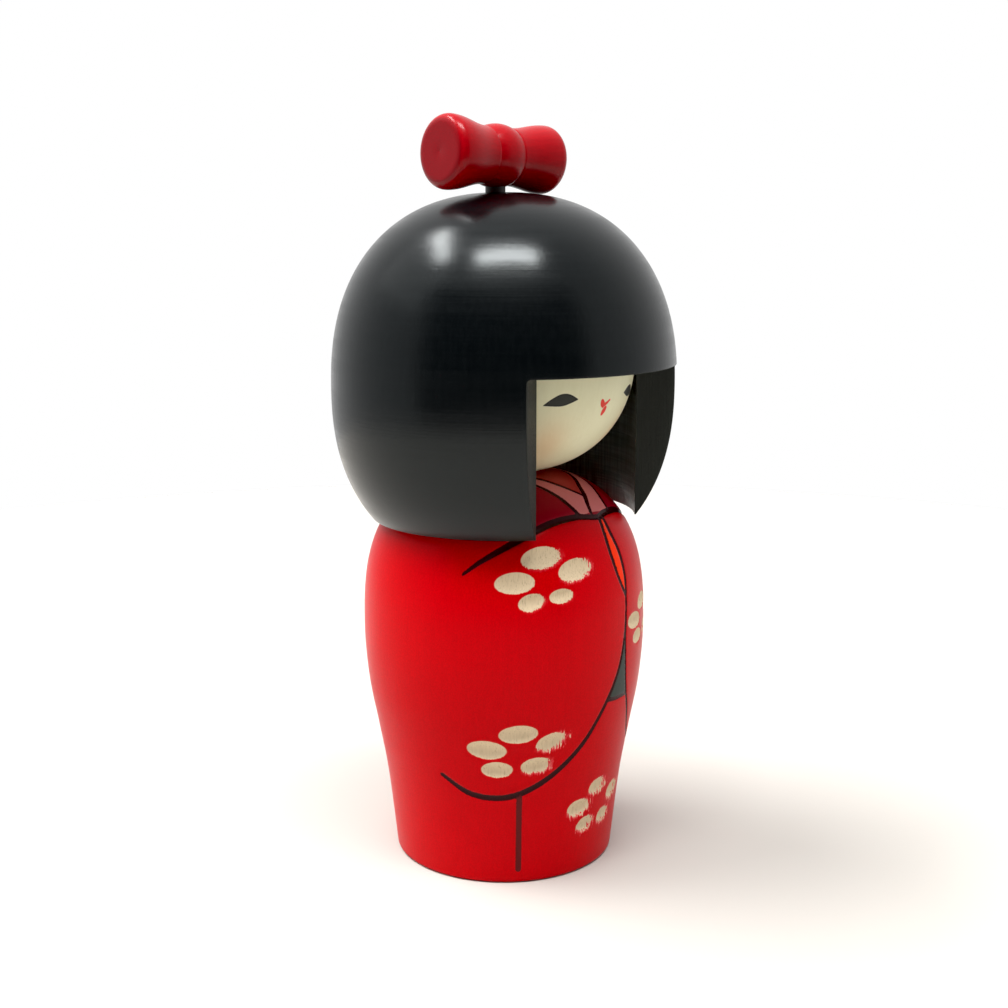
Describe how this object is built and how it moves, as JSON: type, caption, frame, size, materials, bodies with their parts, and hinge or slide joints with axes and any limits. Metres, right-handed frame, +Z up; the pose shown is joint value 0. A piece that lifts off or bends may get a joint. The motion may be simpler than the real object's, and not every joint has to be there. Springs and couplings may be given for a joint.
{
  "type": "kokeshi doll",
  "caption": "Turned wooden doll in a carved red kimono, with a ball head under a bobbed black hair cap that turns on a neck dowel, and a bow pegged to the crown.",
  "frame": {"origin": "centre of the base, on the surface that the doll stands on", "axes": "+Z up along the turning axis; the face looks towards -Y; +X towards the viewer's right when the face is seen from the front"},
  "size_m": [0.0694, 0.0692, 0.1499],
  "materials": {
    "kimono_lacquer": "red stained wood under satin lacquer, with petals carved back to bare cream wood",
    "dowel_wood": "bare pale wood",
    "face_wood": "pale cream wood, waxed smooth, with a painted face",
    "hair_lacquer": "black satin lacquer with fine turning marks",
    "bow_lacquer": "red gloss lacquer",
    "peg_stain": "dark stained wood"
  },
  "bodies": {
    "body": {"body": "kimono_lacquer"},
    "head": {"neck_dowel": "dowel_wood", "head_ball": "face_wood", "hair_cap": "hair_lacquer", "bow": "bow_lacquer", "bow_peg": "peg_stain"}
  },
  "joints": [
    {"name": "head_turn", "type": "hinge", "parent": "body", "child": "head", "pos_m": [0, 0, 0.0798], "axis": [0, 0, 1], "continuous": true}
  ]
}
